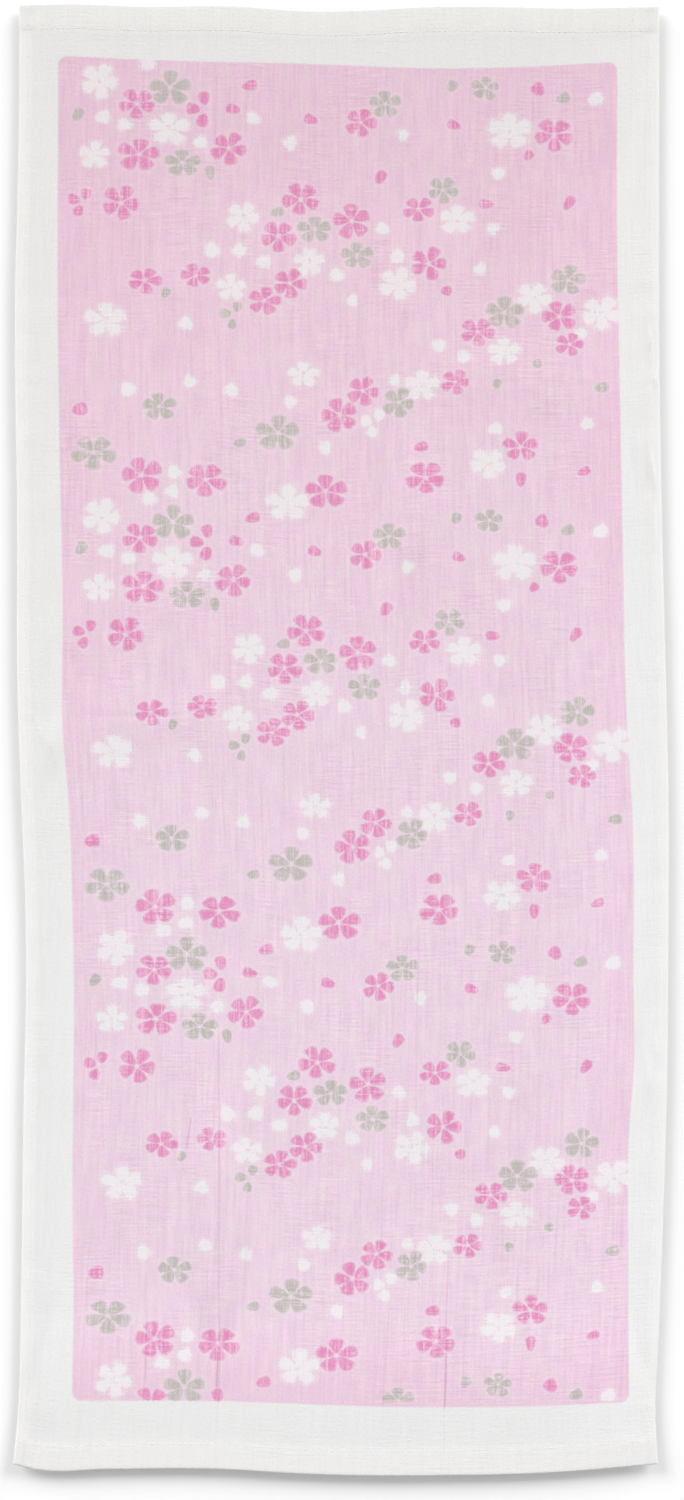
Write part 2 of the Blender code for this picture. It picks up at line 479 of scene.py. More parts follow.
# The design is drawn up a little over these spans, leftward and upward, in metres.
CORNER_PULL = 1.5 * MM
PULL_LEFTWARD = (0.06, 0.10)
PULL_UPWARD = (0.29, 0.37)
WHITE, PINK, GREEN = 0, 1, 2
# Blossoms: x, y, breadth, squash, turn.
BLOSSOMS = {
    GREEN: (
        (-99.5, 183, 19.5, 0.82, 95), (-135.5, 158, 25, 0.76, -92), (-34.5, 168.5, 24.5, 0.82, 90),
        (-92, 119.5, 24, 0.80, 90), (-84.2, 79.8, 21.5, 0.76, 90), (31.5, 185.2, 18, 0.95, 66),
        (26.3, 112, 18, 0.83, 90), (81.2, 120.6, 16, 0.84, 86), (-11, 43.5, 19.5, 0.79, 92),
        (59, 65.2, 17, 0.88, -86), (12.7, 29.5, 19, 0.79, 93), (95, -2, 22, 0.82, 90),
        (129.3, 16, 20, 0.86, 77),
    ),
    PINK: (
        (-109.2, 145.5, 23, 0.90, 30), (-74.2, 143, 23.5, 0.81, -90),
        (-110, 111, 20.5, 0.80, -93), (-59, 88, 20.5, 0.87, -10), (-108.3, 84.2, 23.5, 0.78, 10),
        (-0.8, 178.3, 20.5, 0.95, 33), (-8.5, 136.5, 24.5, 0.76, 92), (46.2, 144, 22.5, 0.83, -89),
        (98.2, 161, 20.5, 0.81, 90), (13, 102, 17.5, 0.93, 66), (119.3, 95.2, 22.5, 0.80, -90),
        (-117.8, 58.2, 21, 0.95, 64), (-104, 15.8, 18.8, 0.77, 66), (-75.8, 18.6, 17.3, 0.75, 36),
        (-19, 60.2, 20.3, 0.90, 46), (-31, 39.8, 19.6, 0.90, -90), (-24, 14.2, 18.8, 0.86, 66),
        (-37.8, 4.6, 18.8, 0.82, 77), (9.3, 48.2, 21.5, 0.92, 27), (45.8, 54.6, 17.5, 0.82, -90),
        (52.2, 25, 19.5, 0.94, 68), (80.8, -12.5, 19.2, 0.78, -82), (125.5, -4, 19, 0.93, 34),
        (131.8, -19.3, 16.2, 0.84, 70), (69.5, -39.8, 16.2, 0.84, 64), (19, -44.6, 18, 0.92, 66),
    ),
    WHITE: (
        (-131.1, 123, 20.5, 0.95, 66), (-29.3, 129.8, 24, 0.80, 90), (-92.2, 97.8, 22.5, 0.80, 90),
        (-132.5, 84, 17.5, 0.82, 90), (80.8, 151.8, 19.5, 0.87, -90), (94.8, 97.3, 24.5, 0.82, 89),
        (-50.5, 50.8, 18, 0.92, 62), (-56.2, 11.8, 16.5, 0.90, 90), (-13.3, 25.6, 17, 0.86, 89),
        (-124.5, -5.8, 23, 0.81, 90), (-14.2, -36, 17.3, 0.80, 91), (67.3, 49, 20, 0.80, 90),
        (35.3, 13.8, 19, 0.92, 66), (110.8, 6.3, 20, 0.84, -84), (148.6, -2.2, 22, 0.83, -84),
        (96, -23.3, 18.5, 0.79, 90), (51.3, -41.8, 18.7, 0.87, 90),
    ),
}
# Loose petals: x, y, length, breadth, turn.
LOOSE_PETALS = {
    PINK: (
        (-73.3, 114.7, 8.2, 6, 102), (-79, 108.8, 8.5, 6.2, 172), (-73.8, 102.8, 8.5, 6.3, 252),
        (-137, 63, 7, 5.5, 80), (-143.5, 60, 7.5, 5.6, 165), (-141, 54, 7, 5.5, 240),
        (-143, 181.5, 9.5, 7, 10), (-48.5, 122, 9, 5.6, 15), (-57.2, 109.3, 9, 5.4, 165),
        (-14.3, 103.7, 8.5, 5.4, 160), (43.7, 160.8, 8.8, 5.6, 12), (98.5, 143, 9, 5.4, 88),
        (133, 147.4, 8.4, 4.6, 20), (110.2, 120, 8.2, 7, 130), (64.5, 100.5, 8.4, 5, 160),
        (105.6, 84, 6.6, 5, 45), (24.6, 72, 8.8, 5.8, 58), (83, 57.5, 8.8, 5, 175),
        (128.3, 58, 9.4, 5.4, 55), (62.5, 10, 6.8, 5.6, 0),
    ),
    GREEN: (
        (-52.3, 1.2, 6.5, 5, 80), (-58.5, -2.4, 7.5, 5, 175), (-54.5, -8, 6.5, 4.6, 258),
        (-55.4, 163.1, 8, 4.8, 12), (-142.3, 105.3, 9, 5.6, 55), (-69, 74.6, 9, 5, 100),
        (63, 121.8, 7.4, 5.4, 60), (124, 115.2, 8.8, 5.6, 22), (92.5, -41, 6.4, 4.6, 75),
        (150, -43, 9, 5.4, 8), (-31.8, 53, 8.6, 5, 12), (-92.2, 8.8, 7, 4.6, 60),
        (114.2, -29.8, 5.8, 4.8, 0),
    ),
    WHITE: (
        (13.8, 175, 7, 6, 168), (20.5, 178.3, 7.5, 6, 75), (17.2, 169.2, 7, 6, 250),
        (-91.5, 147, 8.6, 7.2, 45), (-92.6, 136.6, 8.8, 6.8, 10), (-104.5, 132.4, 9.8, 6.8, 168),
        (-28, 185.4, 7.6, 6.6, 70), (-8.5, 160.3, 8.4, 6.6, 110), (-128.6, 104, 10.2, 6.6, 8),
        (-116, 99.8, 9.6, 6.2, 172), (-75, 91, 8.4, 6.6, 20), (-45.8, 104.2, 9.6, 6, 158),
        (-25.3, 90.6, 8.8, 7, 100), (84.2, 170.8, 8.8, 5.8, 15), (134.6, 173.6, 7.6, 6.2, 35),
        (36.5, 94.9, 7.8, 6.2, 80), (141.8, 114.7, 10, 6.6, 22), (89.3, 74, 7.6, 7, 90),
        (-67.4, 32, 9, 8, 50), (-52, 32, 8.6, 7.6, 120), (-39, 25.8, 10, 6.6, 5),
        (-79.8, -8, 9, 6.6, 140), (-110.3, -44, 9, 7.6, 60), (-76, -39.6, 8.4, 6.2, 165),
        (-53.2, -44.6, 8.8, 6.6, 135), (1.6, 18.6, 8, 7.6, 45), (26.7, 43.8, 8.8, 6.2, 155),
        (87, 43.7, 7.6, 6.6, 85), (35.2, 28.6, 7.8, 7.2, 150), (80.4, 22, 7.4, 6.4, 10),
        (10.8, 4.6, 6.8, 6.4, 0), (59.8, -20.2, 7.8, 7, 90), (73.8, -26.2, 8.2, 7, 60),
        (36, -39, 7.4, 5.8, 10), (137.6, -13, 7.6, 5.4, 0),
    ),
}
for label, chart in (("blossoms", BLOSSOMS), ("loose petals", LOOSE_PETALS)):
    print(label, "in a repeat:", sum(len(rows) for rows in chart.values()))

# %% [markdown]
# ## From blossoms to petals
#
# Every blossom becomes five separate petals, because the print leaves thin pale gaps between them. A
# petal is kept as the few numbers that turn a place on the cloth into the petal's own two
# coordinates: lengthways from -1 at its root to 1 at its tip, and crossways likewise. A little seeded
# unevenness keeps the blossoms hand-drawn, and it is the same in each repeat, as in a real screen.

# %% The petals of one repeat
# The first five have a share for each ink, in the order white, pink, green.
BLOSSOM_SHRINK = (0.99, 0.975, 0.975)
LOOSE_LENGTH = (0.83, 0.90, 0.86)
LOOSE_BREADTH = (0.95, 0.97, 0.98)
PETAL_ROOT = (0.08, 0.12, 0.11)
PETAL_BREADTH = (0.303, 0.310, 0.302)
PETALS_EACH = 5
PETAL_WIDENING = 0.5
LOOSE_WIDENING = 0.27
LOOSE_MARK = 3
PETAL_SEED = 11
PETAL_TURN_UNEVENNESS = math.radians(4)
PETAL_SIZE_UNEVENNESS = 0.06


def petals_of_repeat():
    """All the petals of one repeat as an array. A row has the middle of the petal's blossom, how far
    from there its own middle lies along its turn, its half length and half breadth, its turn, its
    squash and its ink. A loose petal's ink is marked by adding LOOSE_MARK."""
    rng = np.random.default_rng(PETAL_SEED)
    petals = []
    for ink, rows in BLOSSOMS.items():
        for x, y, breadth, squash, turn in rows:
            tip = BLOSSOM_SHRINK[ink] * breadth / 2 * MM
            root = PETAL_ROOT[ink] * tip
            for k in range(PETALS_EACH):
                size = 1 + rng.uniform(-PETAL_SIZE_UNEVENNESS, PETAL_SIZE_UNEVENNESS)
                slant = rng.uniform(-PETAL_TURN_UNEVENNESS, PETAL_TURN_UNEVENNESS)
                wide = 1 + rng.uniform(-PETAL_SIZE_UNEVENNESS, PETAL_SIZE_UNEVENNESS)
                half_length = (tip * size - root) / 2
                half_breadth = PETAL_BREADTH[ink] * tip * wide
                heading = math.radians(turn + 360 * k / PETALS_EACH) + slant
                reach = root + half_length
                petals.append((x * MM, y * MM, reach, half_length, half_breadth, heading, squash, ink))
    for ink, rows in LOOSE_PETALS.items():
        for x, y, length, breadth, turn in rows:
            half_length = LOOSE_LENGTH[ink] * length / 2 * MM
            half_breadth = LOOSE_BREADTH[ink] * breadth / 2 * MM
            heading = math.radians(turn)
            petals.append((x * MM, y * MM, 0, half_length, half_breadth, heading, 1, ink + LOOSE_MARK))
    return np.array(petals, float)


# The print's middle line leans and bends as the cloth does, so blossoms are placed from that line.
PRINT_MIDDLE = (
    (-362, 5.3), (-294, 5.7), (-213, 6.4), (-144, 7.6), (-90, 6.6), (-33, 4.9), (12, 2.5), (103, 0.3),
    (186, -1.5), (266, -1.95), (372, -1.9),
)


def print_half_width(y):
    """Half of how wide the print is at places along it."""
    return (curve_through(PRINT_RIGHT, y) - curve_through(PRINT_LEFT, y)) / 2


def petals_of_print():
    """The petals of one repeat, laid along the whole print, moved to follow its middle line and spread
    as it widens, and drawn up at its upper left corner. The design starts at the upper edge, so a
    blossom that would cross it is left out. Elsewhere a blossom is cut by the edge, and a petal stays
    where its middle is inside."""
    one = petals_of_repeat()
    one[:, 0] = (one[:, 0] - curve_through(PRINT_MIDDLE, one[:, 1])) / print_half_width(one[:, 1])
    laid = []
    for k in REPEATS:
        copy = one.copy()
        copy[:, 1] += k * REPEAT + REPEAT_START
        copy[:, 0] *= print_half_width(copy[:, 1])
        copy[:, 0] += curve_through(PRINT_MIDDLE, copy[:, 1])
        near_corner = smooth_step(-copy[:, 0], *PULL_LEFTWARD) * smooth_step(copy[:, 1], *PULL_UPWARD)
        copy[:, 1] += CORNER_PULL * near_corner
        laid.append(copy)
    laid = np.concatenate(laid)
    x, y, reach, half_length, _, turn, squash, _ = laid.T
    tip = np.where(reach > 0, (reach + half_length) * squash, 0)
    starts_below_top = curve_through(PRINT_TOP, x) > y + tip
    sideways, lengthways = inside_print(x + reach * np.cos(turn), y + reach * squash * np.sin(turn))
    return laid[starts_below_top & (np.minimum(sideways, lengthways) > 0)]


petals = petals_of_print()
print("petals on the towel:", len(petals))

# %% [markdown]
# ## Every face knows its nearest petals
#
# A material can't search a list, so the search is done here. For each face, the three petals whose
# outlines are nearest to it are found, and each of its corners stores its own place in their
# coordinates, with the ink. Within a face these places change evenly, so the material can draw a
# petal's outline as a formula, crisp at any size, whatever the grid's spacing.

# %% The three nearest petals of every face
NEAREST = 3
BAND_ROWS = 8
FAR_AWAY = 9.0
SEARCH_REACH = 16 * MM


def petal_place(petal, x, y):
    """A place on the cloth in a petal's coordinates: the squash undone, turned to point along the
    petal, moved to its middle, and divided by its half sizes."""
    px, py, reach, half_length, half_breadth, turn, squash, _ = petal.T
    dx = x - px
    dy = (y - py) / squash
    lengthways = (dx * np.cos(turn) + dy * np.sin(turn) - reach) / half_length
    crossways = (dy * np.cos(turn) - dx * np.sin(turn)) / half_breadth
    return lengthways, crossways


def nearest_petals(x, y):
    """For face middles in an array, the numbers of the nearest petals, white ones first so that inks
    always lie over them in the same order."""
    lengthways_off = np.abs(petals[:, 1] - y.mean())
    count = np.count_nonzero(lengthways_off < SEARCH_REACH + np.ptp(y))
    near = np.argsort(lengthways_off, kind="stable")[: max(count, NEAREST)]
    lengthways, crossways = petal_place(petals[near], x[:, None], y[:, None])
    size = (petals[near, 3] + petals[near, 4]) / 2
    outside = (np.hypot(lengthways, crossways) - 1) * size
    best = near[np.argsort(outside, axis=1)[:, :NEAREST]]
    order = np.argsort(petals[best, 7] % LOOSE_MARK, axis=1, kind="stable")
    return np.take_along_axis(best, order, axis=1)


def cell_mean(values):
    """The mean of each grid cell's four corners."""
    return (values[:-1, :-1] + values[1:, :-1] + values[1:, 1:] + values[:-1, 1:]) / 4


face_x, face_y = cell_mean(plan_x), cell_mean(plan_y)
chosen = np.zeros(face_x.shape + (NEAREST,), int)
for start in range(0, face_x.shape[1], BAND_ROWS):
    band = slice(start, start + BAND_ROWS)
    found = nearest_petals(face_x[:, band].ravel(), face_y[:, band].ravel())
    chosen[:, band] = found.reshape(face_x[:, band].shape + (NEAREST,))
chosen = chosen.reshape(-1, NEAREST)
chosen = np.concatenate([chosen, chosen])
corner_x, corner_y = cloth_points[cloth_faces, 0], cloth_points[cloth_faces, 1]
for k, name in enumerate(("petal_first", "petal_second", "petal_third")):
    lengthways, crossways = petal_place(petals[chosen[:, k]], corner_x.T, corner_y.T)
    ink = np.broadcast_to(petals[chosen[:, k], 7], lengthways.shape)
    lengthways, crossways = np.clip([lengthways, crossways], -FAR_AWAY, FAR_AWAY)
    places = np.stack([lengthways, crossways, ink], -1)
    store(cloth, name, "CORNER", places.transpose(1, 0, 2))
print("faces that know their petals:", len(chosen))

# %% [markdown]
# ## Small helpers for materials
#
# A material here is a formula, so its nodes are written as one. Each helper adds one node and gives
# back its result, and constants are set on the sockets themselves.

# %% The helpers
COTTON_GLOSS = 0.15
SHEEN_ROUGHNESS = 0.6


class Formula:
    """A material's nodes, written as calls that each add one node and return its output."""

    def __init__(self, name):
        self.material = bpy.data.materials.new(name)
        self.material.use_nodes = True
        self.nodes = self.material.node_tree.nodes
        self.links = self.material.node_tree.links
        self.shader = self.nodes["Principled BSDF"]

    def put(self, socket, value):
        """Sets a socket to a number or colour, or links it to another node's output."""
        if isinstance(value, bpy.types.NodeSocket):
            self.links.new(value, socket)
        else:
            socket.default_value = value

    def math(self, operation, *values):
        node = self.nodes.new("ShaderNodeMath")
        node.operation = operation
        for socket, value in zip(node.inputs, values):
            self.put(socket, value)
        return node.outputs[0]

    def add(self, *values):
        total = values[0]
        for value in values[1:]:
            total = self.math("ADD", total, value)
        return total

    def times(self, *values):
        total = values[0]
        for value in values[1:]:
            total = self.math("MULTIPLY", total, value)
        return total

    def minus(self, first, second):
        return self.math("SUBTRACT", first, second)

    def least(self, first, second):
        return self.math("MINIMUM", first, second)

    def most(self, first, second):
        return self.math("MAXIMUM", first, second)

    def size(self, value):
        return self.math("ABSOLUTE", value)

    def step(self, value, start, end):
        """0 to 1 along an S-shaped rise from start to end."""
        node = self.nodes.new("ShaderNodeMapRange")
        node.interpolation_type = "SMOOTHSTEP"
        for socket, number in zip(node.inputs, (value, start, end, 0.0, 1.0)):
            self.put(socket, number)
        return node.outputs[0]

    def mix(self, share, first, second, blend="MIX"):
        node = self.nodes.new("ShaderNodeMix")
        node.data_type = "RGBA"
        node.blend_type = blend
        colours = [s for s in node.inputs if s.type == "RGBA"]
        self.put(node.inputs[0], share)
        self.put(colours[0], first)
        self.put(colours[1], second)
        return [s for s in node.outputs if s.type == "RGBA"][0]

    def toned(self, share, colour, tone):
        """A colour with a share of a tint laid over it."""
        return self.mix(share, colour, self.mix(1.0, colour, tone, "MULTIPLY"))

    def stored(self, name):
        """The three stored numbers of a place on the piece."""
        node = self.nodes.new("ShaderNodeAttribute")
        node.attribute_name = name
        return node.outputs["Vector"]

    def grey(self, value):
        """A grey of that brightness."""
        node = self.nodes.new("ShaderNodeCombineColor")
        for socket in node.inputs[:3]:
            self.put(socket, value)
        return node.outputs[0]

    def parts(self, vector):
        node = self.nodes.new("ShaderNodeSeparateXYZ")
        self.put(node.inputs[0], vector)
        return node.outputs[0], node.outputs[1], node.outputs[2]

    def noise(self, vector, stretch, detail=1.0, roughness=0.5):
        """Noise between 0 and 1 whose grains have the given sizes in metres."""
        scaled = self.nodes.new("ShaderNodeVectorMath")
        scaled.operation = "MULTIPLY"
        self.put(scaled.inputs[0], vector)
        scaled.inputs[1].default_value = [1 / s for s in stretch]
        node = self.nodes.new("ShaderNodeTexNoise")
        node.inputs["Scale"].default_value = 1.0
        node.inputs["Detail"].default_value = detail
        node.inputs["Roughness"].default_value = roughness
        self.put(node.inputs["Vector"], scaled.outputs[0])
        return node.outputs[0]

    def bump(self, height, distance):
        node = self.nodes.new("ShaderNodeBump")
        node.inputs["Strength"].default_value = 1.0
        node.inputs["Distance"].default_value = distance
        self.put(node.inputs["Height"], height)
        self.put(self.shader.inputs["Normal"], node.outputs[0])

    def finish(self, roughness, sheen):
        """Dry cotton: rough, hardly any gloss, and a soft sheen of loose fibres."""
        self.shader.inputs["Roughness"].default_value = roughness
        self.shader.inputs["Specular IOR Level"].default_value = COTTON_GLOSS
        self.shader.inputs["Sheen Weight"].default_value = sheen
        self.shader.inputs["Sheen Roughness"].default_value = SHEEN_ROUGHNESS
        return self.material


print("helpers ready")

# %% [markdown]
# ## The printed gauze
#
# Dry cotton takes ink unevenly. Warp threads show as fine streaks along the towel, weft threads as
# short ribs in patches, and both break up the ink's edges. The ink is thin, so it only darkens the
# white of the cloth: a ground of one pink laid stronger at both ends and the sides, and petals of
# deeper pink, grey-green and bare white. A pale line stays round each petal where the screens don't
# quite meet. The white itself is a little brighter on the hems, and a few gentle tones change it
# along the towel. Light and shade are painted into the white as well: painted shade over the upper
# part and the lower end, painted light on the right border and the lower hem, a painted highlight
# along the side folds and a painted dark line of shade along the upper edge. Thin lines of painted
# crease shade, darker and deeper pink, follow the pressed folds. On the under face the same print
# shows through, paler.

# %% The gauze material
BARE_CLOTH = (0.770, 0.768, 0.766, 1)
HEM_CLOTH = (0.822, 0.817, 0.810, 1)
# A painted highlight along the side folds, where their rounded edges catch the light.
FOLD_PAINTED_HIGHLIGHT = (0.880, 0.876, 0.868, 1)
# Painted shade over the upper part of the towel, with a slight warm tint.
UPPER_PAINTED_SHADE_AND_TINT = (0.980, 0.970, 0.952, 1)
# Painted shade over the lower end, against the extra light on its lifted slope.
LOWER_PAINTED_SHADE = (0.955, 0.953, 0.953, 1)
END_TONE = (0.972, 0.970, 0.970, 1)
TOP_TONE = (0.992, 0.993, 0.996, 1)
# Painted light over the lower hem, strongest at the lower edge.
FOOT_PAINTED_LIGHT = (1.028, 1.026, 1.024, 1)
# A painted dark line of shade along the outermost part of the upper edge.
RIM_PAINTED_SHADE = (0.95, 0.95, 0.95, 1)
# Painted light on the right white border, slightly cool.
RIGHT_PAINTED_LIGHT = (1.035, 1.035, 1.045, 1)
STRONG_GROUND = (0.985, 0.692, 0.860, 1)
WEAK_GROUND = (0.995, 0.778, 0.923, 1)
COOL_BLUSH = (1.0, 0.970, 1.002, 1)
WARM_BLUSH = (1.0, 1.032, 0.984, 1)
DEEP_PINK = (0.95, 0.35, 0.635, 1)
GREY_GREEN = (0.645, 0.612, 0.575, 1)
NO_INK = (1.0, 1.0, 1.0, 1)
BARE_PETAL = (1.028, 1.010, 1.034, 1)
CORNER_RADIUS = 5 * MM
INK_EDGE, INK_FRAY = 0.6 * MM, 0.8 * MM
SHOW_THROUGH = 0.62
# Grains of the weave and the ink, across and along the cloth.
WARP_GRAIN = (1.15 * MM, 24 * MM, 1)
SLUB_GRAIN = (2.1 * MM, 60 * MM, 1)
WEFT_GRAIN = (16 * MM, 1.1 * MM, 1)
PATCH_GRAIN = (34 * MM, 46 * MM, 1)
CLOUD_GRAIN = (70 * MM, 90 * MM, 1)
FLECK_GRAIN = (1.2 * MM, 1.5 * MM, 1)
DRIFT_GRAIN = (30 * MM, 60 * MM, 1)
BLUSH_GRAIN = (8 * MM, 12 * MM, 1)
# Between which brightnesses of those noises ribs, blushes and streaks come in.
RIB_SPAN = (0.45, 0.62)
BLUSH_SPAN = (0.28, 0.72)
STREAK_SPAN = (0.60, 0.76)
SLUB_WEIGHT, FLECK_WEIGHT = 0.7, 0.55
PLAIN_WEFT_WEIGHT, RIB_WEIGHT = 0.25, 0.8
# Where a tone, a painted light or shade, or a strength of ink comes in and where it is full, in
# metres from the middle. The hem's own ones are measured into the hem from its inner edge.
HEM_SPAN = (-2.0 * MM, 1.2 * MM)
OFF_HEM_SPAN = (0.5 * MM, -2.5 * MM)
END_SPAN = (LENGTH / 2 - END_HEM - 1.5 * MM, LENGTH / 2 - END_HEM + 1.5 * MM)
FOOT_LIGHT_SPAN = (END_HEM - LENGTH / 2, -LENGTH / 2)
RIM_SHADE_SPAN = (LENGTH / 2 - 2.0 * MM, LENGTH / 2 - 0.3 * MM)
FOLD_HIGHLIGHT_SPAN = (WIDTH / 2 - 1.6 * MM, WIDTH / 2)
TOP_SPAN = (0.30, 0.36)
UPPER_SHADE_SPAN = (-0.15, 0.42)
LOWER_SHADE_SPAN = (-0.32, -0.375)
RIGHT_LIGHT_SPAN = (0.10, 0.165)
ABOVE_LOW_END_SPAN = (-0.295, -0.175)
RIBBED_RIGHT_SPAN = (-0.02, 0.06)
STRONG_TOP_SPAN = (-0.12, 0.42)
STRONG_FOOT_SPAN = (-0.310, -0.355)
LEFT_SPAN = (0.002, -0.002)
LEFT_BAND = 62 * MM
RIGHT_BAND = 34 * MM
# How much stronger the ground is at the upper end, the right side, the left side over the right, and
# the lower end, and how far clouds and threads change it.
STRONG_TOP, STRONG_RIGHT, STRONG_LEFT_MORE, STRONG_FOOT = 0.85, 0.46, -0.16, 0.55
STRONG_CLOUDS, STRONG_THREADS = 1.1, -0.16
# A petal's outline and the soft edges of the petal and of the pale line round it.
PETAL_POWERS = (2.6, 2.3)
LEAST_WIDTH = 0.15
PETAL_EDGE = (-0.45, 0.40)
HALO_EDGE = (-2.0, -0.2)
HALO_PALENESS, HALO_LESS_IN_COLOUR = 0.24, -0.08
INK_DEPTH, INK_IN_THREADS = 0.86, -1.6
# How far the warp, the weft and the fine flecks fray an ink's edge.
RAGGED_WARP, RAGGED_WEFT, RAGGED_FLECKS = 1.3, 0.6, 1.6
STREAKS, STREAKS_BELOW = 0.07, 0.09
# How much the painted crease shade turns the colour deeper pink and darker, and how far its lines wander.
CREASE_SHADE_PINK, PRESSED_SHADE, CREASE_SHADE_WANDER = 0.20, -0.05, 2.2 * MM
BARE_MOTTLE, PRINTED_MOTTLE = 0.055, 0.165
BUMP_DEPTH, BUMP_WEFT, BUMP_FLECKS = 0.25 * MM, 0.4, 0.5
CLOTH_ROUGHNESS, CLOTH_SHEEN = 0.95, 0.12
# Lines of painted crease shade along the pressed folds: across, along at the middle, lean (across
# for each along), half length, darkness.
CREASE_SHADE_LINES = (
    (-67.6, -270, -0.0195, 128, 1.0),
    (58.9, -335, -0.010, 62, 0.9),
    (59.4, -349, 0.0, 17, 1.7),
    (69.2, -338, 0.010, 26, 0.6),
    (25.8, -342, 0.020, 38, 0.7),
    (-106.5, -310, 0.004, 62, 0.55),
    (-7.0, -336, 0.02, 18, 0.6),
    (-52.8, -272, 0.0, 40, 0.5),
    (39.0, -152, 0.012, 40, 0.6),
    (34.5, 50, 0.006, 34, 0.5),
    (-118.5, 276, 0.0, 14, 0.8),
    (-67.2, -346.5, 0.0, 11, 2.4),
    (-106.4, -344, 0.0, 9, 0.9),
    (-85.1, -216.5, 0.11, 9.5, 1.5),
)
CREASE_SHADE_HALF_BREADTH = 0.85 * MM


def petal_mask(g, name, ragged):
    """How much a place is inside one of its nearest petals, how near outside it, and the petal's ink.
    The outline is where |lengthways| and |crossways / (1 + slope lengthways)|, each raised to its
    power, add up to 1: an egg with its small end at the root."""
    lengthways, crossways, mark = g.parts(g.stored(name))
    loose = g.math("GREATER_THAN", mark, LOOSE_MARK - 0.5)
    ink = g.minus(mark, g.times(loose, LOOSE_MARK))
    slope = g.add(PETAL_WIDENING, g.times(loose, LOOSE_WIDENING - PETAL_WIDENING))
    widening = g.most(g.add(g.times(lengthways, slope), 1.0), LEAST_WIDTH)
    long_part = g.math("POWER", g.size(lengthways), PETAL_POWERS[0])
    wide_part = g.math("POWER", g.size(g.math("DIVIDE", crossways, widening)), PETAL_POWERS[1])
    depth = g.minus(g.minus(1.0, long_part), wide_part)
    return g.step(g.add(depth, ragged), *PETAL_EDGE), g.step(depth, *HALO_EDGE), ink


def crease_shade_lines(g, place_across, place_along, uneven):
    """Painted crease shade: the thin dark lines where the cloth was folded and pressed, each a soft band
    about a straight line that fades at both ends."""
    dark = 0.0
    for x, y, lean, half_length, darkness in CREASE_SHADE_LINES:
        aside = g.minus(place_across, x * MM)
        beyond = g.minus(place_along, y * MM)
        aside = g.add(g.minus(aside, g.times(beyond, lean)), g.times(uneven, CREASE_SHADE_WANDER))
        band = g.minus(1.0, g.step(g.size(aside), 0.0, CREASE_SHADE_HALF_BREADTH))
        reach = g.step(g.size(beyond), half_length * MM, 0.75 * half_length * MM)
        dark = g.add(dark, g.times(band, reach, darkness))
    return dark


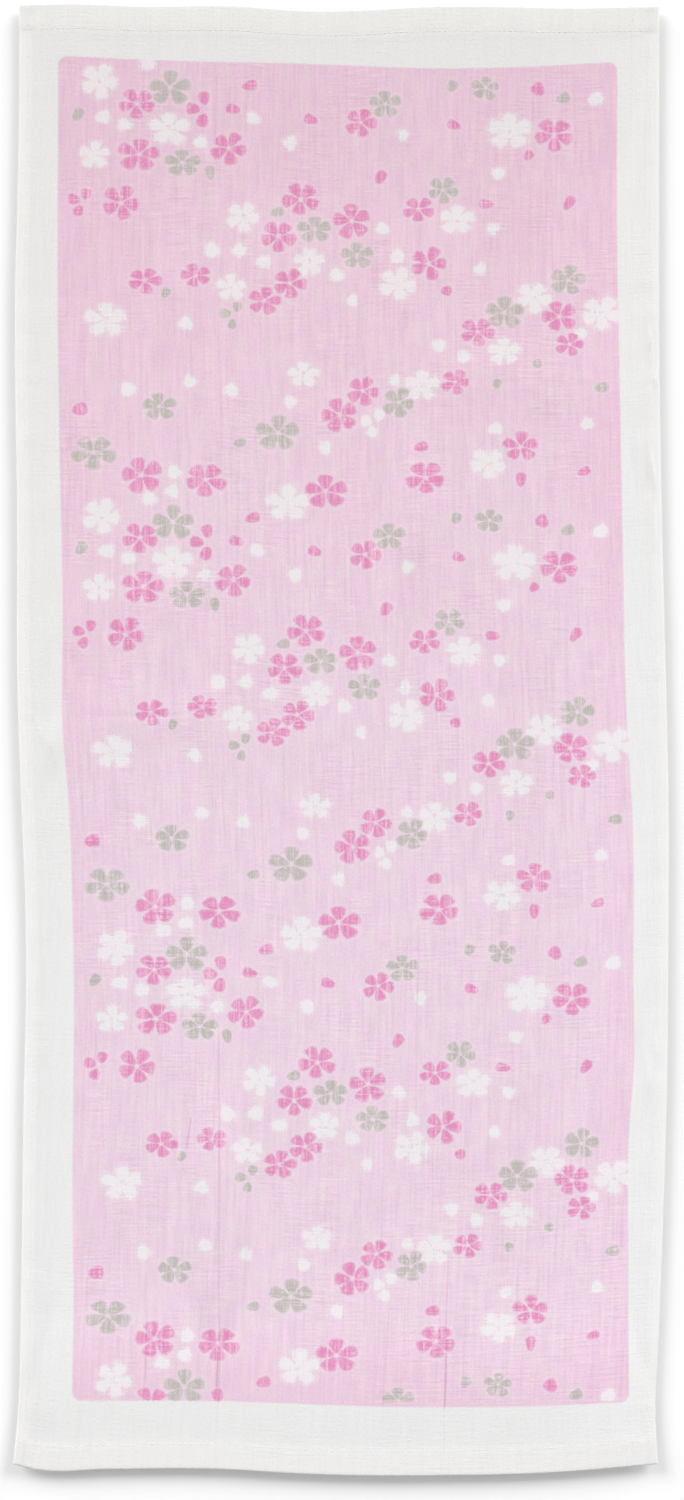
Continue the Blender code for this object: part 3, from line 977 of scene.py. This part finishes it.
def gauze():
    """The towel's one material."""
    g = Formula("printed_gauze")
    cut = g.stored("cut_place")
    place_across, place_along, under = g.parts(cut)
    sideways, lengthways, in_hem = g.parts(g.stored("print_place"))

    warp = g.noise(cut, WARP_GRAIN, 2.0, 0.6)
    slubs = g.noise(cut, SLUB_GRAIN)
    weft = g.noise(cut, WEFT_GRAIN, 1.0, 0.6)
    patches = g.noise(cut, PATCH_GRAIN)
    clouds = g.noise(cut, CLOUD_GRAIN, 2.0)
    grain = g.noise(cut, FLECK_GRAIN)
    drift = g.noise(cut, DRIFT_GRAIN, 0.0)
    low_end = g.minus(1.0, g.step(place_along, *ABOVE_LOW_END_SPAN))
    ribbed = g.step(patches, *RIB_SPAN)
    ribbed = g.most(ribbed, g.times(low_end, g.step(place_across, *RIBBED_RIGHT_SPAN)))
    warp_off = g.add(g.minus(warp, 0.5), g.times(g.minus(slubs, 0.5), SLUB_WEIGHT))
    weft_off = g.times(g.minus(weft, 0.5), g.add(PLAIN_WEFT_WEIGHT, g.times(ribbed, RIB_WEIGHT)))
    grain_off = g.minus(grain, 0.5)
    threads = g.add(warp_off, weft_off, g.times(grain_off, FLECK_WEIGHT))
    # Painted crease shade along the pressed folds.
    crease_shade = crease_shade_lines(g, place_across, place_along, g.minus(drift, 0.5))

    bare = g.mix(g.step(in_hem, *HEM_SPAN), BARE_CLOTH, HEM_CLOTH)
    bare = g.toned(g.step(g.size(place_along), *END_SPAN), bare, END_TONE)
    # Besides a slight cool tone near the upper end, this lays painted light over the lower hem and a
    # painted dark line of shade along the upper edge.
    for span, tone in ((TOP_SPAN, TOP_TONE), (FOOT_LIGHT_SPAN, FOOT_PAINTED_LIGHT), (RIM_SHADE_SPAN, RIM_PAINTED_SHADE)):
        bare = g.toned(g.step(place_along, *span), bare, tone)
    # A painted highlight along the outermost part of the side folds.
    bare = g.mix(g.step(g.size(place_across), *FOLD_HIGHLIGHT_SPAN), bare, FOLD_PAINTED_HIGHLIGHT)
    # Painted shade over the upper part, with a warm tint, and painted shade over the lower end.
    for span, tone in ((UPPER_SHADE_SPAN, UPPER_PAINTED_SHADE_AND_TINT), (LOWER_SHADE_SPAN, LOWER_PAINTED_SHADE)):
        bare = g.toned(g.step(place_along, *span), bare, tone)
    # Painted light on the right border, off the hem.
    right_light_share = g.times(g.step(place_across, *RIGHT_LIGHT_SPAN), g.step(in_hem, *OFF_HEM_SPAN))
    bare = g.toned(right_light_share, bare, RIGHT_PAINTED_LIGHT)

    on_left = g.step(place_across, *LEFT_SPAN)
    band_breadth = g.add(RIGHT_BAND, g.times(on_left, LEFT_BAND - RIGHT_BAND))
    side_share = g.minus(1.0, g.step(g.math("DIVIDE", sideways, band_breadth), 0.0, 1.0))
    strength = g.add(
        g.times(g.step(place_along, *STRONG_TOP_SPAN), STRONG_TOP),
        g.times(side_share, g.add(STRONG_RIGHT, g.times(on_left, STRONG_LEFT_MORE))),
        g.times(g.step(place_along, *STRONG_FOOT_SPAN), STRONG_FOOT),
        g.times(g.minus(clouds, 0.5), STRONG_CLOUDS),
        g.times(threads, STRONG_THREADS),
    )
    ground = g.mix(g.most(0.0, g.least(strength, 1.0)), WEAK_GROUND, STRONG_GROUND)
    blush = g.mix(g.step(g.noise(cut, BLUSH_GRAIN), *BLUSH_SPAN), COOL_BLUSH, WARM_BLUSH)
    ground = g.mix(1.0, ground, blush, "MULTIPLY")

    ragged = g.add(
        g.times(warp_off, RAGGED_WARP),
        g.times(weft_off, RAGGED_WEFT),
        g.times(grain_off, RAGGED_FLECKS),
    )
    ink_depth = g.least(g.add(INK_DEPTH, g.times(threads, INK_IN_THREADS)), 1.0)
    print_layer = ground
    masks = [petal_mask(g, name, ragged) for name in ("petal_first", "petal_second", "petal_third")]
    for _, halo, ink in masks:
        paleness = g.add(HALO_PALENESS, g.times(g.least(ink, 1.0), HALO_LESS_IN_COLOUR))
        print_layer = g.mix(g.times(halo, paleness), print_layer, NO_INK)
    for mask, _, ink in masks:
        colour = g.mix(g.least(ink, 1.0), BARE_PETAL, DEEP_PINK)
        colour = g.mix(g.most(g.minus(ink, 1.0), 0.0), colour, GREY_GREEN)
        print_layer = g.mix(g.times(mask, ink_depth), print_layer, colour)

    in_x = g.most(g.minus(CORNER_RADIUS, sideways), 0.0)
    in_y = g.most(g.minus(CORNER_RADIUS, lengthways), 0.0)
    corner = g.math("SQRT", g.add(g.times(in_x, in_x), g.times(in_y, in_y)))
    depth = g.add(g.minus(CORNER_RADIUS, corner), g.times(ragged, INK_FRAY))
    printed = g.step(depth, -INK_EDGE, INK_EDGE)
    printed = g.times(printed, g.add(1.0, g.times(under, SHOW_THROUGH - 1.0)))

    colour = g.mix(printed, NO_INK, print_layer)
    streaks = g.times(g.step(warp, *STREAK_SPAN), g.add(STREAKS, g.times(low_end, STREAKS_BELOW)))
    # Warp streaks and the painted crease shade deepen the pink.
    pinker = g.least(g.add(streaks, g.times(crease_shade, CREASE_SHADE_PINK)), 1.0)
    colour = g.mix(g.times(pinker, printed), colour, DEEP_PINK)
    colour = g.mix(1.0, bare, colour, "MULTIPLY")
    mottle = g.times(threads, g.add(BARE_MOTTLE, g.times(printed, PRINTED_MOTTLE)))
    # The weave's mottle and the painted crease shade darken the colour.
    shade = g.add(1.0, mottle, g.times(crease_shade, PRESSED_SHADE))
    g.put(g.shader.inputs["Base Color"], g.mix(1.0, colour, g.grey(shade), "MULTIPLY"))
    relief = g.add(warp_off, g.times(weft_off, BUMP_WEFT), g.times(grain_off, BUMP_FLECKS))
    g.bump(relief, BUMP_DEPTH)
    return g.finish(CLOTH_ROUGHNESS, CLOTH_SHEEN)


cloth.data.materials.append(gauze())
print("nodes in the gauze:", len(cloth.data.materials[0].node_tree.nodes))

# %% [markdown]
# ## The hem stitches
#
# A lockstitch runs near the inner edge of each hem, with one white thread on each face. It hardly
# shows on white cloth, but up close a hem without it looks glued. Each stitch is a short arched tube
# lying in the pinched groove. Hundreds of them are made at once as one array, with a few faces each.

# %% Stitches on both faces
STITCH_PITCH = 3.0 * MM
STITCH_LENGTH = 2.5 * MM
THREAD_RADIUS = 0.13 * MM
STITCH_SIDES = 5
STITCH_RINGS = 5
STITCH_MARGIN = 2 * MM
STITCH_UNEVENNESS = (0.92, 1.04)
STITCH_WANDER, WANDER_PITCH = 0.12 * MM, 40 * MM
STITCH_SEED = 20
# A stitch's arch and how deep its ends are sunk, in thread radii, and how thick its ends are.
STITCH_ARCH, STITCH_SUNK, END_THICKNESS = 0.9, 0.35, 0.35
THREAD_SHADE = (0.81, 0.807, 0.798, 1)
THREAD_WHITE = (0.88, 0.877, 0.868, 1)
THREAD_GRAIN = (0.5 * MM, 0.5 * MM, 0.5 * MM)
THREAD_BUMP = 0.05 * MM
THREAD_ROUGHNESS, THREAD_SHEEN = 0.8, 0.1
# Loose thread ends sewn back over the hem: (across, along) of both ends, in millimetres.
BACK_TACKS = (
    ((160.6, 391.0), (161.4, 394.6)),
    ((161.4, 394.4), (162.6, 397.4)),
    ((162.4, 391.4), (161.2, 394.2)),
    ((155.6, -391.4), (158.0, -388.4)),
    ((158.4, -391.4), (160.4, -388.4)),
    ((161.0, -391.2), (162.6, -388.4)),
)


def stitch_line(hem_side, is_end, seed):
    """The two ends of every stitch of one hem, as across and along places on the cut cloth."""
    rng = np.random.default_rng(seed)
    run, size, hem = (WIDTH, LENGTH, END_HEM) if is_end else (LENGTH, WIDTH, SIDE_HEM)
    fixed = hem_side * (size / 2 - (hem - STITCH_INSET))
    starts = np.arange(-run / 2 + STITCH_MARGIN, run / 2 - STITCH_MARGIN - STITCH_LENGTH, STITCH_PITCH)
    sideways = fixed + STITCH_WANDER * ripple(starts, WANDER_PITCH, seed)
    lasts = starts + STITCH_LENGTH * rng.uniform(*STITCH_UNEVENNESS, len(starts))
    if is_end:
        return np.stack([starts, sideways], -1), np.stack([lasts, sideways], -1)
    return np.stack([sideways, starts], -1), np.stack([sideways, lasts], -1)


def stitch_tubes(ends, upper):
    """Arched tubes between pairs of places: the middle line is straight in plan and rises as a half
    sine off the cloth's face, and a ring of points goes round it with a radius that closes at both
    ends."""
    first, last = ends
    t = np.linspace(0, 1, STITCH_RINGS)[None, :, None]
    place = first[:, None, :] * (1 - t) + last[:, None, :] * t
    x, y, up, down = faces_at(place[..., 0], place[..., 1])
    arch = np.sin(math.pi * t[..., 0])
    way = 1 if upper else -1
    z = (up if upper else down) + way * THREAD_RADIUS * (STITCH_ARCH * arch - STITCH_SUNK)
    middle = np.stack([x, y, z], -1)
    heading = middle[:, -1] - middle[:, 0]
    heading[:, 2] = 0
    heading /= np.linalg.norm(heading, axis=1)[:, None]
    beside = np.stack([-heading[:, 1], heading[:, 0], np.zeros(len(heading))], -1)
    roundness = np.sqrt(np.clip(arch, 0, 1))
    radius = THREAD_RADIUS * (END_THICKNESS + (1 - END_THICKNESS) * roundness)
    angle = 2 * math.pi * np.arange(STITCH_SIDES) / STITCH_SIDES
    round_beside = beside[:, None, None, :] * np.cos(angle)[None, None, :, None]
    round_up = np.array([0, 0, 1.0]) * np.sin(angle)[None, None, :, None]
    return middle[:, :, None, :] + radius[:, :, None, None] * (round_beside + round_up)


def tube_faces(points):
    """The walls of joined tubes, from an array of stitches, rings and sides, and a small face that
    closes each end."""
    n, rings, sides, _ = points.shape
    index = np.arange(n * rings * sides).reshape(n, rings, sides)
    turned = np.roll(index, -1, axis=2)
    walls = np.stack([turned[:, :-1], turned[:, 1:], index[:, 1:], index[:, :-1]], -1)
    ends = np.concatenate([index[:, 0], index[:, -1, ::-1]])
    return walls.reshape(-1, 4).tolist() + ends.tolist()


stitch_sets = []
for k, (hem_side, is_end) in enumerate(((-1, False), (1, False), (-1, True), (1, True))):
    ends = stitch_line(hem_side, is_end, STITCH_SEED + k)
    stitch_sets.append(stitch_tubes(ends, True))
    stitch_sets.append(stitch_tubes(ends, False))
tacks = np.array(BACK_TACKS) * MM
stitch_sets.append(stitch_tubes((tacks[:, 0], tacks[:, 1]), True))
stitch_points = np.concatenate(stitch_sets)
stitches = mesh_piece("hem_stitches", stitch_points.reshape(-1, 3), tube_faces(stitch_points))
print("stitches:", sum(len(s) for s in stitch_sets))


def thread():
    """White sewing cotton, a little brighter than the cloth, with a fine twist."""
    g = Formula("sewing_thread")
    coordinates = g.nodes.new("ShaderNodeTexCoord").outputs["Object"]
    twist = g.noise(coordinates, THREAD_GRAIN)
    g.put(g.shader.inputs["Base Color"], g.mix(twist, THREAD_SHADE, THREAD_WHITE))
    g.bump(twist, THREAD_BUMP)
    return g.finish(THREAD_ROUGHNESS, THREAD_SHEEN)


stitches.data.materials.append(thread())

# %% [markdown]
# ## Riding and replacing
#
# The cloth stands for the solid towel and the stitches go with it.

# %% What each piece rides on, and the solid hidden
for piece in (cloth, stitches):
    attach(piece, "root")
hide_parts("towel")
print("pieces:", cloth.name, stitches.name)

# %% [markdown]
# ## Table, light and camera
#
# The towel lies on a plain pale table, seen from straight above. One wide soft light stands
# overhead, leaning a little from the lower end, and two low ones come from beyond the upper corners.
# So the lower end throws the darkest shadow, both sides a softer one and the upper end none. A dim
# even room fills the rest. The camera's height and aim are worked out from the towel's scale in the
# picture.

# %% The table
PICTURE_WIDTH_PX = 684
PICTURE_HEIGHT_PX = 1500
TOWEL_MIDDLE_PX = (341.0, 739.2)
METRES_PER_PX = 0.5476 * MM
TABLE_SIZE = 40.0
TABLE_DEPTH = 0.3 * MM
TABLE_WHITE = (0.94, 0.94, 0.94, 1)
TABLE_ROUGHNESS, TABLE_GLOSS = 0.9, 0.1

table_corners = np.array([(-1, -1), (1, -1), (1, 1), (-1, 1)]) * TABLE_SIZE / 2
table_points = np.column_stack([table_corners, np.full(4, -TABLE_DEPTH)])
table = mesh_piece("table", table_points, [(0, 1, 2, 3)])


def table_top():
    """A plain, dull white."""
    g = Formula("table_top")
    g.shader.inputs["Base Color"].default_value = TABLE_WHITE
    g.shader.inputs["Roughness"].default_value = TABLE_ROUGHNESS
    g.shader.inputs["Specular IOR Level"].default_value = TABLE_GLOSS
    return g.material


table.data.materials.append(table_top())

# %% Light
FULL_LIGHT = 1.085
ROOM_SHARE = 0.15
SKY_WHITE = (1.0, 1.0, 1.0, 1)
# Each soft sun: name, share of the table's light, heading clockwise from +Y, elevation, softness.
SUNS = (
    ("overhead", 0.28, 180, 72, 110),
    ("left", 0.285, -45, 23.5, 35),
    ("right", 0.285, 45, 23.5, 35),
)

world = bpy.data.worlds.new("room")
world.use_nodes = True
world.node_tree.nodes["Background"].inputs[0].default_value = SKY_WHITE
world.node_tree.nodes["Background"].inputs[1].default_value = FULL_LIGHT * ROOM_SHARE
bpy.context.scene.world = world


def soft_sun(name, share, heading, elevation, softness):
    """A wide sun that gives the table its share of the full light, from a heading and elevation."""
    sun = bpy.data.lights.new(name, "SUN")
    sun.energy = FULL_LIGHT * share * math.pi / math.sin(math.radians(elevation))
    sun.angle = math.radians(softness)
    lamp = bpy.data.objects.new(name, sun)
    lamp.rotation_euler = (math.radians(elevation - 90), 0, math.radians(-heading))
    bpy.context.scene.collection.objects.link(lamp)


for row in SUNS:
    soft_sun(*row)
print("suns:", len(SUNS))

# %% Camera
LENS_MM = 85
SENSOR_MM = 36
picture_height = PICTURE_HEIGHT_PX * METRES_PER_PX
camera_data = bpy.data.cameras.new("camera")
camera_data.lens = LENS_MM
camera_data.sensor_width = SENSOR_MM
camera_data.sensor_fit = "AUTO"
camera = bpy.data.objects.new("camera", camera_data)
camera.location = (
    (PICTURE_WIDTH_PX / 2 - TOWEL_MIDDLE_PX[0]) * METRES_PER_PX,
    (TOWEL_MIDDLE_PX[1] - PICTURE_HEIGHT_PX / 2) * METRES_PER_PX,
    picture_height * LENS_MM / SENSOR_MM,
)
bpy.context.scene.collection.objects.link(camera)
bpy.context.scene.camera = camera
bpy.context.scene.view_settings.view_transform = "Standard"
print("camera height, m:", round(camera.location.z, 3))
